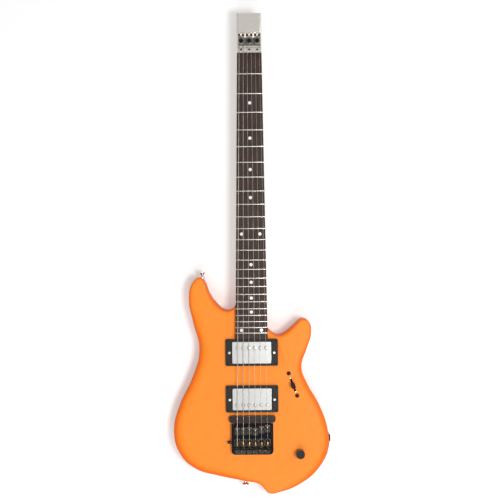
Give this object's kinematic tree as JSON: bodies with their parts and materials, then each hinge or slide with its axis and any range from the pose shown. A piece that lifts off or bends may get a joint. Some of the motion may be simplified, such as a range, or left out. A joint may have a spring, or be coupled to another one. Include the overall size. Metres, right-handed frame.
{
  "type": "midi guitar",
  "caption": "Headless solid-body electric guitar with bolt-on fretted neck, covered pickups, divided pickup bar, tuning bridge and a side plate for cable and data.",
  "frame": {"origin": "on the flat back, on the centreline, under the bridge end of the scale length", "axes": "+Y from the bridge to the headpiece, +Z out of the front, +X to the treble side"},
  "size_m": [0.2739, 0.8362, 0.0611],
  "materials": {
    "orange_lacquer": "satin orange lacquer on solid wood",
    "neck_maple": "satin maple",
    "rosewood": "oiled dark wood with fine grain",
    "rod_steel": "bare steel",
    "satin_nickel": "satin nickel plating",
    "pickup_nickel": "brushed nickel plating",
    "black_screws": "black oxide",
    "plated_screws": "nickel plating",
    "ring_plastic": "moulded black plastic",
    "coil_plastic": "black moulded bobbins",
    "bar_plastic": "dark grey moulded plastic",
    "bridge_black": "gloss black plating",
    "tuner_black": "gloss black plating",
    "wound_string": "nickel wound steel",
    "plain_string": "plain steel",
    "knob_black": "black anodised",
    "control_metal": "nickel plated",
    "switch_plastic": "black moulded plastic",
    "plate_plastic": "black moulded plastic",
    "circuit_green": "green solder mask",
    "battery_wrap": "silver wrap",
    "strap_chrome": "bright chrome"
  },
  "bodies": {
    "root": {"body": "orange_lacquer", "neck": "neck_maple", "fingerboard": "rosewood", "truss_rod": "rod_steel", "headpiece": "satin_nickel", "clamp_pad_1": "satin_nickel", "clamp_pad_2": "satin_nickel", "clamp_pad_3": "satin_nickel", "neck_pickup_cover": "pickup_nickel", "bridge_pickup_cover": "pickup_nickel", "clamp_screw_1": "black_screws", "clamp_screw_2": "black_screws", "clamp_screw_3": "black_screws", "bridge_side_screw": "black_screws", "neck_screw_1": "plated_screws", "neck_screw_2": "plated_screws", "neck_screw_3": "plated_screws", "neck_screw_4": "plated_screws", "neck_pickup_ring": "ring_plastic", "bridge_pickup_ring": "ring_plastic", "neck_pickup_coils": "coil_plastic", "bridge_pickup_coils": "coil_plastic", "hex_pickup": "bar_plastic", "bridge_base": "bridge_black", "saddle_1": "bridge_black", "saddle_2": "bridge_black", "saddle_3": "bridge_black", "saddle_4": "bridge_black", "saddle_5": "bridge_black", "saddle_6": "bridge_black", "string_1": "wound_string", "string_2": "wound_string", "string_3": "wound_string", "string_4": "plain_string", "string_5": "plain_string", "string_6": "plain_string", "volume_pot": "control_metal", "output_jack": "control_metal", "selector_switch": "switch_plastic", "side_plate": "plate_plastic", "rear_cover": "plate_plastic", "circuit_board": "circuit_green", "battery": "battery_wrap", "strap_button_upper": "strap_chrome", "strap_button_lower": "strap_chrome"},
    "tuner_1": {"tuner_1": "tuner_black"},
    "tuner_2": {"tuner_2": "tuner_black"},
    "tuner_3": {"tuner_3": "tuner_black"},
    "tuner_4": {"tuner_4": "tuner_black"},
    "tuner_5": {"tuner_5": "tuner_black"},
    "tuner_6": {"tuner_6": "tuner_black"},
    "carriage_1": {"carriage_1": "tuner_black"},
    "carriage_2": {"carriage_2": "tuner_black"},
    "carriage_3": {"carriage_3": "tuner_black"},
    "carriage_4": {"carriage_4": "tuner_black"},
    "carriage_5": {"carriage_5": "tuner_black"},
    "carriage_6": {"carriage_6": "tuner_black"},
    "volume_knob": {"volume_knob": "knob_black"},
    "selector_lever": {"selector_lever": "switch_plastic"},
    "power_button": {"power_button": "plate_plastic"}
  },
  "joints": [
    {"name": "tuner_1_turn", "type": "hinge", "parent": "root", "child": "tuner_1", "pos_m": [-0.02625, -0.0408, 0.0511], "axis": [0, 1, 0], "range_deg": [-1800, 1800]},
    {"name": "carriage_1_slide", "type": "slide", "parent": "root", "child": "carriage_1", "axis": [0, 1, 0], "range_m": [-0.0035, 0.0035]},
    {"name": "tuner_2_turn", "type": "hinge", "parent": "root", "child": "tuner_2", "pos_m": [-0.01575, -0.0408, 0.0511], "axis": [0, 1, 0], "range_deg": [-1800, 1800]},
    {"name": "carriage_2_slide", "type": "slide", "parent": "root", "child": "carriage_2", "axis": [0, 1, 0], "range_m": [-0.0035, 0.0035]},
    {"name": "tuner_3_turn", "type": "hinge", "parent": "root", "child": "tuner_3", "pos_m": [-0.00525, -0.0408, 0.0511], "axis": [0, 1, 0], "range_deg": [-1800, 1800]},
    {"name": "carriage_3_slide", "type": "slide", "parent": "root", "child": "carriage_3", "axis": [0, 1, 0], "range_m": [-0.0035, 0.0035]},
    {"name": "tuner_4_turn", "type": "hinge", "parent": "root", "child": "tuner_4", "pos_m": [0.00525, -0.0408, 0.0511], "axis": [0, 1, 0], "range_deg": [-1800, 1800]},
    {"name": "carriage_4_slide", "type": "slide", "parent": "root", "child": "carriage_4", "axis": [0, 1, 0], "range_m": [-0.0035, 0.0035]},
    {"name": "tuner_5_turn", "type": "hinge", "parent": "root", "child": "tuner_5", "pos_m": [0.01575, -0.0408, 0.0511], "axis": [0, 1, 0], "range_deg": [-1800, 1800]},
    {"name": "carriage_5_slide", "type": "slide", "parent": "root", "child": "carriage_5", "axis": [0, 1, 0], "range_m": [-0.0035, 0.0035]},
    {"name": "tuner_6_turn", "type": "hinge", "parent": "root", "child": "tuner_6", "pos_m": [0.02625, -0.0408, 0.0511], "axis": [0, 1, 0], "range_deg": [-1800, 1800]},
    {"name": "carriage_6_slide", "type": "slide", "parent": "root", "child": "carriage_6", "axis": [0, 1, 0], "range_m": [-0.0035, 0.0035]},
    {"name": "volume_turn", "type": "hinge", "parent": "root", "child": "volume_knob", "pos_m": [0.083, -0.0485, 0.044], "axis": [0, 0, 1], "range_deg": [-150, 150]},
    {"name": "selector_tilt", "type": "hinge", "parent": "root", "child": "selector_lever", "pos_m": [0.0714, 0.0701, 0.024], "axis": [0.9379, 0.3469, 0], "range_deg": [-13, 13]},
    {"name": "power_button_press", "type": "slide", "parent": "root", "child": "power_button", "axis": [-0.9465, 0.3226, 0], "range_m": [0, 0.0008], "stiffness_N_per_m": 200}
  ],
  "couplings": [
    {"joint": "tuner_1_turn", "follows": "carriage_1_slide", "rad_per_m": -8975.9},
    {"joint": "tuner_2_turn", "follows": "carriage_2_slide", "rad_per_m": -8975.9},
    {"joint": "tuner_3_turn", "follows": "carriage_3_slide", "rad_per_m": -8975.9},
    {"joint": "tuner_4_turn", "follows": "carriage_4_slide", "rad_per_m": -8975.9},
    {"joint": "tuner_5_turn", "follows": "carriage_5_slide", "rad_per_m": -8975.9},
    {"joint": "tuner_6_turn", "follows": "carriage_6_slide", "rad_per_m": -8975.9}
  ]
}
